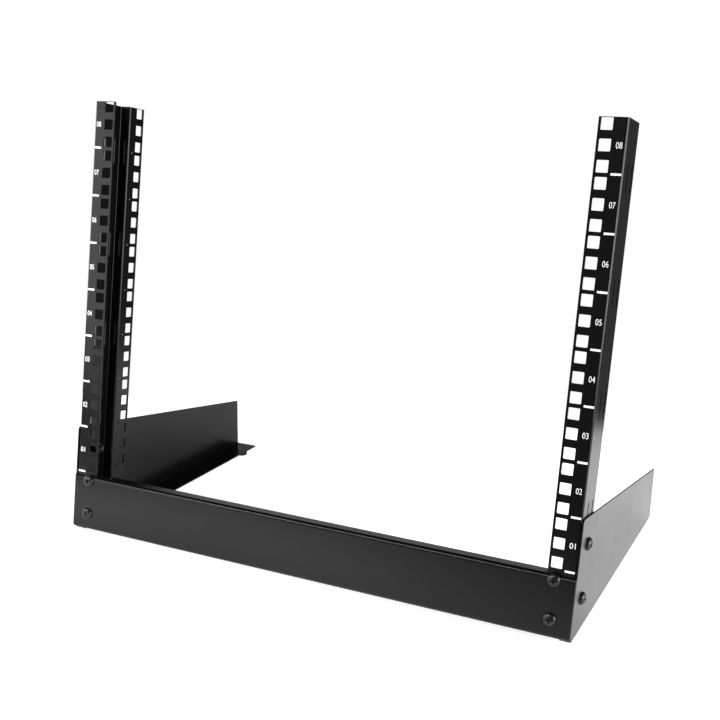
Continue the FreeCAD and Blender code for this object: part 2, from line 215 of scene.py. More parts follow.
class Signal:
    """A shader socket that Python's operators combine through Math nodes."""

    def __init__(self, maker: MaterialMaker, socket: bpy.types.NodeSocket) -> None:
        """Wrap a socket.

        Args:
            maker: The material maker that owns the socket's tree.
            socket: The output socket to wrap.
        """
        self.maker = maker
        self.socket = socket

    def _with(self, operation: str, first: Signal | float, second: Signal | float) -> Signal:
        """Return a Math node's result for two values."""
        node = self.maker.node("ShaderNodeMath", {"operation": operation}, {0: first, 1: second})
        return Signal(self.maker, node.outputs[0])

    def __add__(self, other: Signal | float) -> Signal:
        """Return the sum."""
        return self._with("ADD", self, other)

    def __radd__(self, other: float) -> Signal:
        """Return the sum with a number on the left."""
        return self._with("ADD", other, self)

    def __sub__(self, other: Signal | float) -> Signal:
        """Return the difference."""
        return self._with("SUBTRACT", self, other)

    def __rsub__(self, other: float) -> Signal:
        """Return the difference from a number on the left."""
        return self._with("SUBTRACT", other, self)

    def __mul__(self, other: Signal | float) -> Signal:
        """Return the product."""
        return self._with("MULTIPLY", self, other)

    def __rmul__(self, other: float) -> Signal:
        """Return the product with a number on the left."""
        return self._with("MULTIPLY", other, self)


@dataclass(frozen=True)
class Pattern:
    """A noise pattern: its cells in a metre and the octaves of detail added to it."""

    scale: float
    octaves: float = 2.0


@dataclass(frozen=True)
class ThinPlace:
    """A round patch of the floor, see-through by a share in its middle and not at all past its reach."""

    middle: tuple[float, float]
    reach: tuple[float, float]
    share: float


class MaterialMaker:
    """A node material with one principled shader, built node by node."""

    def __init__(self, name: str) -> None:
        """Start an empty material.

        Args:
            name: The material's name.
        """
        self.material = bpy.data.materials.new(name)
        self.material.use_nodes = True
        self.tree = self.material.node_tree
        self.tree.nodes.clear()
        self.shader = self.tree.nodes.new("ShaderNodeBsdfPrincipled")
        output = self.tree.nodes.new("ShaderNodeOutputMaterial")
        self.tree.links.new(self.shader.outputs["BSDF"], output.inputs["Surface"])

    def node(
        self,
        kind: str,
        settings: Mapping[str, object] | None = None,
        sockets: Mapping[str | int, object] | None = None,
    ) -> bpy.types.Node:
        """Add a node, set it up and feed its sockets.

        Args:
            kind: The node's type name.
            settings: The node's own properties; "stops" gives a colour ramp's places and greys.
            sockets: Values or signals by input name or number.

        Returns:
            The new node.
        """
        made = self.tree.nodes.new(kind)
        for key, value in (settings or {}).items():
            if key == "stops":
                for stop, (place, level) in zip(made.color_ramp.elements, value):
                    stop.position = place
                    stop.color = grey(level)
            else:
                setattr(made, key, value)
        for key, value in (sockets or {}).items():
            self.feed(made.inputs[key], value)
        return made

    def feed(self, socket: bpy.types.NodeSocket, value: object) -> None:
        """Link a signal to a socket, or set its value.

        Args:
            socket: The input socket.
            value: A signal, or the socket's constant value.
        """
        if isinstance(value, Signal):
            self.tree.links.new(value.socket, socket)
        else:
            socket.default_value = value

    def coordinates(self) -> Signal:
        """Return the piece's object coordinates."""
        return Signal(self, self.node("ShaderNodeTexCoord").outputs["Object"])

    def attribute(self, name: str) -> Signal:
        """Return a mesh attribute's value."""
        made = self.node("ShaderNodeAttribute", {"attribute_name": name})
        return Signal(self, made.outputs["Fac"])

    def noise(self, place: Signal, pattern: Pattern) -> Signal:
        """Return a noise pattern from 0 to 1."""
        sockets = {"Vector": place, "Scale": pattern.scale, "Detail": pattern.octaves}
        return Signal(self, self.node("ShaderNodeTexNoise", {}, sockets).outputs[0])

    def spot(self, place: Signal, middle: tuple[float, float], reach: tuple[float, float]) -> Signal:
        """Return a round patch on the floor that is 1 in its middle and 0 past its reach.

        Args:
            place: The coordinates.
            middle: The patch's middle in X and Y.
            reach: How far it goes along X and Y.

        Returns:
            The patch.
        """
        shift = (-middle[0] / reach[0], -middle[1] / reach[1], 0.0)
        scale = (1 / reach[0], 1 / reach[1], 1.0)
        moved = self.node("ShaderNodeMapping", {}, {"Vector": place, "Location": shift, "Scale": scale})
        sockets = {"Vector": Signal(self, moved.outputs[0])}
        made = self.node("ShaderNodeTexGradient", {"gradient_type": "SPHERICAL"}, sockets)
        return Signal(self, made.outputs["Fac"])

    def ramp(self, signal: Signal, band: tuple[float, float]) -> Signal:
        """Stretch a signal.

        Args:
            signal: The signal.
            band: Its values that become 0 and 1.

        Returns:
            The stretched signal.
        """
        stops = ((band[0], 0.0), (band[1], 1.0))
        made = self.node("ShaderNodeValToRGB", {"stops": stops}, {"Fac": signal})
        return Signal(self, made.outputs["Color"])

    def mix(self, factor: Signal, first: object, second: object) -> Signal:
        """Mix two colours.

        The node has inputs of the same name for numbers, vectors and colours, so the colours' own
        inputs and output are given by number.

        Args:
            factor: 0 gives the first colour and 1 the second.
            first: A colour or a signal.
            second: A colour or a signal.

        Returns:
            The mixed colour.
        """
        made = self.node("ShaderNodeMix", {"data_type": "RGBA"}, {0: factor, 6: first, 7: second})
        return Signal(self, made.outputs[2])

    def bump(self, height: Signal, strength: float, distance: float) -> Signal:
        """Return a normal bent by a height pattern.

        Args:
            height: The pattern.
            strength: How strongly it shows.
            distance: The height in metres that 1 stands for.

        Returns:
            The normal.
        """
        sockets = {"Height": height, "Strength": strength, "Distance": distance}
        return Signal(self, self.node("ShaderNodeBump", {}, sockets).outputs[0])

    def set(self, **values: object) -> None:
        """Set or link the principled shader's sockets, with underscores for spaces in their names."""
        for key, value in values.items():
            self.feed(self.shader.inputs[key.replace("_", " ")], value)


def grey(level: float, warmth: float = 0.0) -> tuple[float, float, float, float]:
    """Return a near neutral colour.

    Args:
        level: The linear brightness.
        warmth: The share by which red exceeds blue.

    Returns:
        Red, green, blue and alpha.
    """
    return (level * (1 + warmth / 2), level, level * (1 - warmth / 2), 1.0)


@dataclass(frozen=True)
class PowderCoat:
    """Satin black powder coat: fine orange peel, slightly thinner and paler along the edges."""

    name: str = "powder_coat"
    level: float = 0.003
    clouding: float = 0.15
    speck_level: float = 0.009
    speck_band: tuple[float, float] = (0.62, 0.8)
    speck_share: float = 0.35
    edge_level: float = 0.02
    edge_band: tuple[float, float] = (0.3, 0.7)
    edge_share: float = 0.8
    roughness: float = 0.18
    cloud_roughness: float = 0.09
    peel_roughness: float = 0.05
    edge_polish: float = 0.06
    peel_strength: float = 0.3
    peel_height: float = 0.02 * MM
    grain_share: float = 0.4
    refraction: float = 1.38
    cloud: Pattern = Pattern(14.0, 3.0)
    peel: Pattern = Pattern(520.0)
    grain: Pattern = Pattern(2100.0, 1.0)
    wear: Pattern = Pattern(160.0, 4.0)

    def make(self) -> bpy.types.Material:
        """Build the coat's material.

        Returns:
            The material.
        """
        maker = MaterialMaker(self.name)
        place = maker.coordinates()
        cloud = maker.noise(place, self.cloud)
        peel = maker.noise(place, self.peel)
        grain = maker.noise(place, self.grain)
        edge = maker.attribute(EDGE_WEAR) * maker.ramp(maker.noise(place, self.wear), self.edge_band)
        thin = grey(self.level * (1 - self.clouding))
        thick = grey(self.level * (1 + self.clouding))
        coat = maker.mix(cloud, thin, thick)
        specks = maker.ramp(grain, self.speck_band) * self.speck_share
        speckled = maker.mix(specks, coat, grey(self.speck_level))
        rough = self.roughness + self.cloud_roughness * cloud + self.peel_roughness * peel
        maker.set(
            Base_Color=maker.mix(edge * self.edge_share, speckled, grey(self.edge_level)),
            Roughness=rough - self.edge_polish * edge,
            Normal=maker.bump(peel + self.grain_share * grain, self.peel_strength, self.peel_height),
            IOR=self.refraction,
        )
        return maker.material


@dataclass(frozen=True)
class PlatedSteel:
    """Black plated steel with faint blotches and paler edges."""

    name: str
    level: float = 0.05
    blotching: float = 0.2
    blotch_warmth: tuple[float, float] = (-0.04, 0.03)
    edge_level: float = 0.14
    edge_band: tuple[float, float] = (0.35, 0.65)
    metallic: float = 0.85
    roughness: float = 0.21
    blotch_roughness: float = 0.12
    fine_roughness: float = 0.05
    fine_strength: float = 0.25
    fine_height: float = 0.01 * MM
    blotch: Pattern = Pattern(330.0, 4.0)
    fine: Pattern = Pattern(2600.0)

    def make(self) -> bpy.types.Material:
        """Build the plating's material.

        Returns:
            The material.
        """
        maker = MaterialMaker(self.name)
        place = maker.coordinates()
        blotch = maker.noise(place, self.blotch)
        fine = maker.noise(place, self.fine)
        edge = maker.attribute(EDGE_WEAR) * maker.ramp(blotch, self.edge_band)
        dark = grey(self.level * (1 - self.blotching), self.blotch_warmth[0])
        light = grey(self.level * (1 + self.blotching), self.blotch_warmth[1])
        maker.set(
            Base_Color=maker.mix(edge, maker.mix(blotch, dark, light), grey(self.edge_level)),
            Metallic=self.metallic,
            Roughness=self.roughness + self.blotch_roughness * blotch + self.fine_roughness * fine,
            Normal=maker.bump(fine, self.fine_strength, self.fine_height),
        )
        return maker.material


@dataclass(frozen=True)
class MattRubber:
    """Moulded black rubber, dull, with a fine grain and patches of light dust."""

    name: str = "foot_rubber"
    level: float = 0.014
    dust_level: float = 0.06
    dust_warmth: float = 0.08
    dust_band: tuple[float, float] = (0.5, 0.85)
    dust_share: float = 0.5
    roughness: float = 0.68
    grain_roughness: float = 0.14
    grain_strength: float = 0.4
    grain_height: float = 0.04 * MM
    grain: Pattern = Pattern(1800.0, 3.0)
    dust: Pattern = Pattern(240.0, 4.0)

    def make(self) -> bpy.types.Material:
        """Build the rubber's material.

        Returns:
            The material.
        """
        maker = MaterialMaker(self.name)
        place = maker.coordinates()
        grain = maker.noise(place, self.grain)
        dust = maker.ramp(maker.noise(place, self.dust), self.dust_band) * self.dust_share
        maker.set(
            Base_Color=maker.mix(dust, grey(self.level), grey(self.dust_level, self.dust_warmth)),
            Roughness=self.roughness + self.grain_roughness * grain,
            Normal=maker.bump(grain, self.grain_strength, self.grain_height),
        )
        return maker.material


@dataclass(frozen=True)
class PrintInk:
    """White screen printing ink, a little thin in places, with a painted glow that makes it read whiter than
    its light makes it.
    """

    name: str = "print_ink"
    level: float = 0.92
    thin_share: float = 0.78
    thin_band: tuple[float, float] = (0.15, 0.5)
    painted_glow: float = 0.3
    roughness: float = 0.5
    fine_roughness: float = 0.15
    cover_strength: float = 0.2
    cover_height: float = 0.02 * MM
    cover: Pattern = Pattern(900.0, 4.0)
    fine: Pattern = Pattern(1500.0)

    def make(self) -> bpy.types.Material:
        """Build the ink's material.

        Returns:
            The material.
        """
        maker = MaterialMaker(self.name)
        place = maker.coordinates()
        cover = maker.ramp(maker.noise(place, self.cover), self.thin_band)
        maker.set(
            Base_Color=maker.mix(cover, grey(self.level * self.thin_share), grey(self.level)),
            Roughness=self.roughness + self.fine_roughness * maker.noise(place, self.fine),
            Normal=maker.bump(cover, self.cover_strength, self.cover_height),
            # Painted light: the ink glows, though it is no lamp, so the marks read whiter than their light
            # makes them.
            Emission_Color=grey(1.0),
            Emission_Strength=self.painted_glow,
        )
        return maker.material


@dataclass(frozen=True)
class PaleFloor:
    """Plain white studio sheet, lit from below like a light table and thinner in two places.

    The thin places look as white as the rest, but the black faces above them mirror less light.
    """

    name: str = "studio_floor"
    level: float = 0.86
    clouding: float = 0.02
    roughness: float = 0.75
    cloud_roughness: float = 0.1
    glow: float = 0.8
    cloud: Pattern = Pattern(2.0)
    thin_places: tuple[ThinPlace, ...] = (
        ThinPlace(middle=(-0.20, 0.06), reach=(0.32, 0.45), share=0.78),
        ThinPlace(middle=(0.30, -0.38), reach=(0.38, 0.35), share=0.8),
    )

    def make(self) -> bpy.types.Material:
        """Build the floor's material.

        Returns:
            The material.
        """
        maker = MaterialMaker(self.name)
        place = maker.coordinates()
        cloud = maker.noise(place, self.cloud)
        cover: Signal | float = 1.0
        for thin in self.thin_places:
            cover = cover - thin.share * maker.spot(place, thin.middle, thin.reach)
        maker.set(
            Base_Color=maker.mix(cloud, grey(self.level * (1 - self.clouding)), grey(self.level)),
            Roughness=self.roughness + self.cloud_roughness * cloud,
            Emission_Color=grey(1.0),
            Emission_Strength=self.glow,
            Alpha=cover,
        )
        return maker.material


@dataclass
class Workshop:
    """Turns bmesh shapes and frame nodes into finished pieces that ride on the rack."""

    nodes: Mapping[str, bpy.types.Object]
    merge_gap: float = 0.002 * MM
    flat_angle: float = math.radians(0.4)
    crease_angle: float = math.radians(32)
    face_weight: int = 100

    def __post_init__(self) -> None:
        """Make every finish once."""
        self.finishes = {
            Slot.POWDER_COAT: PowderCoat().make(),
            Slot.SCREW_BLACK: PlatedSteel("screw_black").make(),
            Slot.NUT_BLACK: PlatedSteel("nut_black", level=0.015, edge_level=0.05, roughness=0.4).make(),
            Slot.FOOT_RUBBER: MattRubber().make(),
        }
        self.ink = PrintInk().make()

    def shape_of(self, node: str) -> bmesh.types.BMesh:
        """Return a CAD node's shape with its loose triangles merged into flat faces.

        Args:
            node: The node's name.

        Returns:
            The shape.
        """
        shape = bmesh.new()
        shape.from_mesh(self.nodes[node].data)
        bmesh.ops.remove_doubles(shape, verts=shape.verts, dist=self.merge_gap)
        bmesh.ops.dissolve_limit(
            shape, angle_limit=self.flat_angle, verts=shape.verts, edges=shape.edges
        )
        return shape

    def soften(
        self,
        shape: bmesh.types.BMesh,
        edges: Sequence[bmesh.types.BMEdge],
        width: float,
        steps: int = 2,
        worn: bool = False,
    ) -> None:
        """Round edges.

        Args:
            shape: The shape to change.
            edges: Its edges to round.
            width: The bevel's width.
            steps: The bevel's segments.
            worn: Whether the new faces are marked for edge wear.
        """
        layer = shape.faces.layers.float.get(EDGE_WEAR) or shape.faces.layers.float.new(EDGE_WEAR)
        made = bmesh.ops.bevel(
            shape,
            geom=list(edges),
            offset=width,
            offset_type="OFFSET",
            affect="EDGES",
            segments=steps,
            profile=0.5,
            material=-1,
            clamp_overlap=True,
        )
        if worn:
            for face in made["faces"]:
                face[layer] = 1.0

    def sharp_edges(self, shape: bmesh.types.BMesh, above: float = 35.0) -> list[bmesh.types.BMEdge]:
        """Return the edges whose faces meet at more than an angle in degrees."""
        limit = math.radians(above)
        return [edge for edge in shape.edges if len(edge.link_faces) == 2 and edge.calc_face_angle() > limit]

    def finish(
        self,
        name: str,
        shape: bmesh.types.BMesh,
        place: Matrix,
        material: bpy.types.Material,
        slot: Slot,
        replaces: Iterable[str] = (),
    ) -> None:
        """Make a piece from a shape, put its place in its mesh and let it ride on the rack.

        Args:
            name: The piece's name.
            shape: The shape, which is freed.
            place: The transform from the shape's frame to the row frame.
            material: The finish.
            slot: The record's material slot; not used.
            replaces: CAD nodes that the piece stands for.
        """
        shape.transform(place)
        mesh = as_mesh(name, shape)
        mesh.materials.append(material)
        mesh.polygons.foreach_set("use_smooth", [True] * len(mesh.polygons))
        mesh.set_sharp_from_angle(angle=self.crease_angle)
        piece = add_object(name, mesh)
        weighted = piece.modifiers.new("flat_face_normals", "WEIGHTED_NORMAL")
        weighted.keep_sharp = True
        weighted.weight = self.face_weight
        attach(piece, "root")
        if replaces:
            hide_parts(*replaces)
        log.info("%s: %d faces", name, len(mesh.polygons))


@dataclass
class FormedSheets:
    """The posts, the legs and the front bar: folded sheet with punched holes and rounded edges.

    A hole's corner is found as an edge as long as the sheet is thick, where two faces meet inwards.
    """

    post_sheet: float = 1.5 * MM
    sheet_slack: float = 0.02 * MM
    inward_angle: float = math.radians(-80)
    punched_corner: float = 0.8 * MM
    corner_steps: int = 3
    edge_round: float = 0.12 * MM
    edge_steps: int = 2

    def build(self, shop: Workshop) -> None:
        """Build all five pieces of folded sheet.

        Args:
            shop: The workshop.
        """
        for node in ("left_post", "right_post"):
            shape = shop.shape_of(node)
            shop.soften(shape, self.hole_corners(shape), self.punched_corner, self.corner_steps)
            self.dress(shop, node, shape)
        for node in ("front_bar", "left_leg", "right_leg"):
            self.dress(shop, node, shop.shape_of(node))

    def hole_corners(self, shape: bmesh.types.BMesh) -> list[bmesh.types.BMEdge]:
        """Find the short inner corners of the punched holes.

        Args:
            shape: A post's merged shape.

        Returns:
            The corners' edges.
        """
        found = []
        for edge in shape.edges:
            if len(edge.link_faces) != 2:
                continue
            if abs(edge.calc_length() - self.post_sheet) > self.sheet_slack:
                continue
            if edge.calc_face_angle_signed() < self.inward_angle:
                found.append(edge)
        return found

    def dress(self, shop: Workshop, node: str, shape: bmesh.types.BMesh) -> None:
        """Round every sharp edge of a piece and coat it.

        Args:
            shop: The workshop.
            node: The CAD node that the piece replaces.
            shape: The node's merged shape.
        """
        shop.soften(shape, shop.sharp_edges(shape), self.edge_round, self.edge_steps, worn=True)
        finish = shop.finishes[Slot.POWDER_COAT]
        shop.finish(f"{node}_coated", shape, Matrix(), finish, Slot.POWDER_COAT, [node])


@dataclass
class UnitPrinting:
    """A white mark at the foot of every unit, and the numbers 01 to 08, on both rail faces.

    The print stands proud of the rail face and starts a little under it, by the sink. The letters'
    growth and gap are shares of their own size, before a number is scaled to its width and height.
    """

    rack: RackFrame
    units: int = 8
    mark_rise: float = 0.7 * MM
    mark_place: float = 243.75 * MM
    mark_width: float = 8.0 * MM
    mark_height: float = 1.7 * MM
    mark_cells: tuple[int, int] = (14, 2)
    number_place: float = 243.7 * MM
    number_width: float = 4.9 * MM
    number_height: float = 4.85 * MM
    letter_growth: float = -0.004
    letter_gap: float = 0.0005
    letter_steps: int = 3
    proud: float = 0.05 * MM
    sink: float = 0.02 * MM
    bend_start: float = 246.55 * MM
    bend_radius: float = 2.5 * MM

    def build(self, shop: Workshop) -> None:
        """Print both rails.

        Args:
            shop: The workshop.
        """
        for side in Side:
            marks = bmesh.new()
            for step in range(self.units):
                self.add_mark(marks, side, step)
            self.print_piece(shop, f"{side.word}_rail_unit_marks", marks)
            numbers = bmesh.new()
            for step in range(self.units):
                self.add_number(numbers, side, step)
            self.print_piece(shop, f"{side.word}_rail_unit_numbers", numbers)

    def print_piece(self, shop: Workshop, name: str, shape: bmesh.types.BMesh) -> None:
        """Finish printing as a piece of ink."""
        bmesh.ops.recalc_face_normals(shape, faces=shape.faces)
        shop.finish(name, shape, self.rack.matrix(), shop.ink, Slot.POWDER_COAT)

    def surface(self, across: float) -> float:
        """Return how far the rail face falls back at a distance from the middle, round its outer bend."""
        past = min(max(abs(across) - self.bend_start, 0.0), self.bend_radius)
        return self.bend_radius - math.sqrt(self.bend_radius**2 - past**2)

    def stand_up(self, shape: bmesh.types.BMesh, verts: Iterable[bmesh.types.BMVert]) -> None:
        """Turn a flat print from the floor's plane into the rail's."""
        turn = Matrix.Rotation(QUARTER_TURN, 3, "X")
        bmesh.ops.rotate(shape, cent=(0, 0, 0), matrix=turn, verts=verts)

    def add_mark(self, shape: bmesh.types.BMesh, side: Side, step: int) -> None:
        """Add one mark, following the rail face round the start of its bend.

        Args:
            shape: The shape to add to.
            side: The rail.
            step: The unit at whose foot the mark stands, counted from 0 at the bottom.
        """
        across, up = self.mark_cells
        made = bmesh.ops.create_grid(shape, x_segments=across, y_segments=up, size=0.5)
        verts = made["verts"]
        bmesh.ops.scale(shape, vec=(self.mark_width, self.mark_height, 1.0), verts=verts)
        self.stand_up(shape, verts)
        place = (side.value * self.mark_place, self.sink, step * self.rack.unit + self.mark_rise)
        bmesh.ops.translate(shape, vec=place, verts=verts)
        faces = [face for face in shape.faces if all(vert in verts for vert in face.verts)]
        top = thicken(shape, faces, (0, -self.proud - self.sink, 0))
        for vert in list(verts) + top:
            vert.co.y += self.surface(vert.co.x)

    def number_slab(self, step: int) -> bmesh.types.BMesh:
        """Write one unit's two digit number as a slab.

        Args:
            step: The unit, counted from 0 at the bottom.

        Returns:
            The slab in the font's own size, with a height of 1.
        """
        curve = bpy.data.curves.new("unit_number", "FONT")
        curve.body = f"{step + 1:02d}"
        curve.size = 1.0
        curve.offset = self.letter_growth
        curve.resolution_u = self.letter_steps
        writer = bpy.data.objects.new("unit_number", curve)
        mesh = bpy.data.meshes.new_from_object(writer)
        slab = bmesh.new()
        slab.from_mesh(mesh)
        bpy.data.objects.remove(writer)
        bpy.data.curves.remove(curve)
        bpy.data.meshes.remove(mesh)
        bmesh.ops.remove_doubles(slab, verts=slab.verts, dist=self.letter_gap)
        thicken(slab, list(slab.faces), (0, 0, 1))
        return slab

    def add_number(self, shape: bmesh.types.BMesh, side: Side, step: int) -> None:
        """Add one unit's number, scaled to its size and set in the middle of the unit's height.

        Args:
            shape: The shape to add to.
            side: The rail.
            step: The unit, counted from 0 at the bottom.
        """
        slab = self.number_slab(step)
        low = Vector(min(vert.co[axis] for vert in slab.verts) for axis in range(3))
        high = Vector(max(vert.co[axis] for vert in slab.verts) for axis in range(3))
        size = (self.number_width, self.number_height, self.proud + self.sink)
        scale = [length / (high[axis] - low[axis]) for axis, length in enumerate(size)]
        base = (low + high) / 2
        base.z = low.z
        bmesh.ops.translate(slab, vec=-base, verts=slab.verts)
        bmesh.ops.scale(slab, vec=scale, verts=slab.verts)
        self.stand_up(slab, slab.verts)
        place = (side.value * self.number_place, self.sink, (step + 0.5) * self.rack.unit)
        bmesh.ops.translate(slab, vec=place, verts=slab.verts)
        mesh = as_mesh("unit_number", slab)
        shape.from_mesh(mesh)
        bpy.data.meshes.remove(mesh)


@dataclass
class PanHeadScrew:
    """A pan head machine screw with a tapered cross recess and a threaded shank, head up.

    The crown's points are shares of the head's radius and height, from the middle of its top to its
    seat. The recess is cut by blocks that reach past the crown and narrow towards their floor.
    """

    head_radius: float = 5.6 * MM
    head_height: float = 3.4 * MM
    crown: tuple[tuple[float, float], ...] = (
        (0.0, 1.0),
        (0.3, 0.975),
        (0.55, 0.9),
        (0.75, 0.75),
        (0.9, 0.53),
        (0.975, 0.3),
        (1.0, 0.12),
        (0.97, 0.0),
    )
    shank_radius: float = 3.0 * MM
    neck: float = 2.0 * MM
    pitch: float = 1.0 * MM
    threads: int = 9
    thread_depth: float = 0.45 * MM
    tip: float = 1.0 * MM
    tip_radius: float = 2.4 * MM
    sides: int = 36
    recess_length: float = 7.2 * MM
    recess_width: float = 1.35 * MM
    recess_depth: float = 2.5 * MM
    recess_floor: tuple[float, float] = (0.55, 0.7)
    recess_past: float = 0.4 * MM

    def outline(self) -> list[tuple[float, float]]:
        """Draw half of the screw's section.

        Returns:
            Radii and heights from the middle of the crown to the middle of the shank's end.
        """
        points = [(self.head_radius * across, self.head_height * up) for across, up in self.crown]
        points += [(self.shank_radius, 0.0), (self.shank_radius, -self.neck)]
        for turn in range(self.threads):
            height = -self.neck - turn * self.pitch
            points.append((self.shank_radius - self.thread_depth, height - self.pitch / 2))
            points.append((self.shank_radius, height - self.pitch))
        end = -self.neck - self.threads * self.pitch - self.tip
        return points + [(self.tip_radius, end), (0.0, end)]

    def recess_block(self, turn: float) -> bpy.types.Object:
        """Make a tapered block that cuts one arm of the cross recess.

        Args:
            turn: The arm's angle about the screw's axis.

        Returns:
            The block.
        """
        shape = bmesh.new()
        bmesh.ops.create_cube(shape, size=1.0)
        size = (self.recess_length, self.recess_width, self.recess_depth + self.recess_past)
        bmesh.ops.scale(shape, vec=size, verts=shape.verts)
        floor = [vert for vert in shape.verts if vert.co.z < 0]
        bmesh.ops.scale(shape, vec=(*self.recess_floor, 1.0), verts=floor)
        rise = self.head_height - size[2] / 2 + self.recess_past
        bmesh.ops.translate(shape, vec=(0, 0, rise), verts=shape.verts)
        bmesh.ops.rotate(shape, cent=(0, 0, 0), matrix=Matrix.Rotation(turn, 3, "Z"), verts=shape.verts)
        return add_object("recess_block", as_mesh("recess_block", shape))

    def make_mesh(self) -> bpy.types.Mesh:
        """Spin the screw's body and cut the recess into it.

        Returns:
            The finished mesh.
        """
        body = add_object("screw_body", as_mesh("screw_body", spin_outline(self.outline(), self.sides)))
        blocks = [self.recess_block(0.0), self.recess_block(QUARTER_TURN)]
        for block in blocks:
            cut = body.modifiers.new("recess", "BOOLEAN")
            cut.operation = "DIFFERENCE"
            cut.solver = "EXACT"
            cut.object = block
        bpy.context.view_layer.update()
        finished = bpy.data.meshes.new_from_object(body.evaluated_get(bpy.context.evaluated_depsgraph_get()))
        for helper in blocks + [body]:
            bpy.data.objects.remove(helper)
        return finished


@dataclass
class Fasteners:
    """The eight screws and their nuts.

    Places are in the leaning frame. The turns say in degrees how far round each screw was driven: on
    each side, the bar's and the leg's upper screw, then the bar's and the leg's lower one.
    """

    rack: RackFrame
    screw: PanHeadScrew = field(default_factory=PanHeadScrew)
    column: float = 232.55 * MM
    bar_sheet: float = 2.5 * MM
    bar_levels: tuple[float, float] = (-7.6 * MM, -40.0 * MM)
    leg_face: float = 250.55 * MM
    leg_depth: float = 23.5 * MM
    leg_levels: tuple[float, float] = (20.3 * MM, -25.5 * MM)
    turns: tuple[float, ...] = (38, 52, 20, 65, 14, 10, 3, 80)
    edge_angle: float = 50.0
    rim_above: float = 1.2 * MM
    rim_round: float = 0.07 * MM
    nut_round: float = 0.35 * MM

    def build(self, shop: Workshop) -> None:
        """Place a screw and a nut at each of the eight holes.

        Args:
            shop: The workshop.
        """
        template = self.screw.make_mesh()
        turns = iter(self.turns)
        for side in Side:
            for level in Level:
                name = f"{side.word}_{level.word}"
                spot = (side.value * self.column, -self.bar_sheet, self.bar_levels[level.value])
                face = Matrix.Rotation(QUARTER_TURN, 4, "X")
                self.add_screw(shop, template, f"bar_screw_{name}", spot, face, next(turns))
                spot = (side.value * self.leg_face, self.leg_depth, self.leg_levels[level.value])
                face = Matrix.Rotation(side.value * QUARTER_TURN, 4, "Y")
                self.add_screw(shop, template, f"leg_screw_{name}", spot, face, next(turns))
                self.add_nut(shop, f"bar_nut_{name}")
                self.add_nut(shop, f"leg_nut_{name}")
        bpy.data.meshes.remove(template)

    def add_screw(
        self,
        shop: Workshop,
        template: bpy.types.Mesh,
        node: str,
        spot: tuple[float, float, float],
        face: Matrix,
        turn: float,
    ) -> None:
        """Put one screw in its hole.

        Args:
            shop: The workshop.
            template: The screw's mesh, head up.
            node: The CAD node that it replaces.
            spot: The middle of the head's seat in the leaning frame.
            face: The turn from head up to the hole's axis.
            turn: How far the screw was driven round, in degrees.
        """
        shape = bmesh.new()
        shape.from_mesh(template)
        bmesh.ops.remove_doubles(shape, verts=shape.verts, dist=SEAM_GAP)
        sharp = shop.sharp_edges(shape, self.edge_angle)
        rim = [edge for edge in sharp if all(vert.co.z > self.rim_above for vert in edge.verts)]
        shop.soften(shape, rim, self.rim_round, steps=1, worn=True)
        driven = Matrix.Rotation(math.radians(turn), 4, "Z")
        place = self.rack.matrix() @ Matrix.Translation(spot) @ face @ driven
        finish = shop.finishes[Slot.SCREW_BLACK]
        shop.finish(f"{node}_turned", shape, place, finish, Slot.SCREW_BLACK, [node])

    def add_nut(self, shop: Workshop, node: str) -> None:
        """Round the edges of one nut and plate it.

        Args:
            shop: The workshop.
            node: The CAD node that it replaces.
        """
        shape = shop.shape_of(node)
        shop.soften(shape, shop.sharp_edges(shape, self.edge_angle), self.nut_round, worn=True)
        finish = shop.finishes[Slot.NUT_BLACK]
        shop.finish(f"{node}_pressed", shape, Matrix(), finish, Slot.NUT_BLACK, [node])


@dataclass
class RubberFeet:
    """Four moulded rubber feet, each with a hollow under it.

    The rim's points are shares of the foot's radius and height, and the mouth's points are shares of
    the hollow's radius and the foot's height.
    """

    radius: float = 6.25 * MM
    height: float = 4.8 * MM
    hollow: float = 2.4 * MM
    rim: tuple[tuple[float, float], ...] = ((1.0, 0.35), (0.97, 0.14), (0.89, 0.02), (0.84, 0.0))
    mouth: tuple[tuple[float, float], ...] = ((1.15, 0.0), (1.0, 0.04), (0.92, 0.3), (0.0, 0.3))
    sides: int = 40

    def build(self, shop: Workshop) -> None:
        """Turn a foot at the place of each CAD foot.

        Args:
            shop: The workshop.
        """
        finish = shop.finishes[Slot.FOOT_RUBBER]
        for row in Row:
            for side in Side:
                node = f"foot_{row.word}_{side.word}"
                low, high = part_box(node)
                middle = (low + high) / 2
                place = Matrix.Translation((middle.x, middle.y, 0.0))
                shape = spin_outline(self.outline(), self.sides)
                shop.finish(f"{node}_moulded", shape, place, finish, Slot.FOOT_RUBBER, [node])

    def outline(self) -> list[tuple[float, float]]:
        """Draw half of the foot's section.

        Returns:
            Radii and heights from the middle of the top to the middle of the hollow.
        """
        points = [(0.0, self.height), (self.radius, self.height)]
        points += [(self.radius * across, self.height * up) for across, up in self.rim]
        points += [(self.hollow * across, self.height * up) for across, up in self.mouth]
        return points


@dataclass(frozen=True)
class SoftBox:
    """A soft studio light. One that isn't mirrored lights the floor and shows in no glossy face."""

    name: str
    place: tuple[float, float, float]
    aim: tuple[float, float, float]
    size: tuple[float, float]
    radiance: float
    mirrored: bool = True

    def build(self) -> None:
        """Add the light, turned to its aim and hidden from the camera."""
        lamp = bpy.data.lights.new(self.name, "AREA")
        lamp.shape = "RECTANGLE"
        width, height = self.size
        lamp.size = width
        lamp.size_y = height
        lamp.energy = self.radiance * math.pi * width * height
        stand = add_object(self.name, lamp)
        stand.location = self.place
        direction = Vector(self.aim) - Vector(self.place)
        stand.rotation_euler = direction.to_track_quat("-Z", "Y").to_euler()
        stand.visible_camera = False
        stand.visible_glossy = self.mirrored


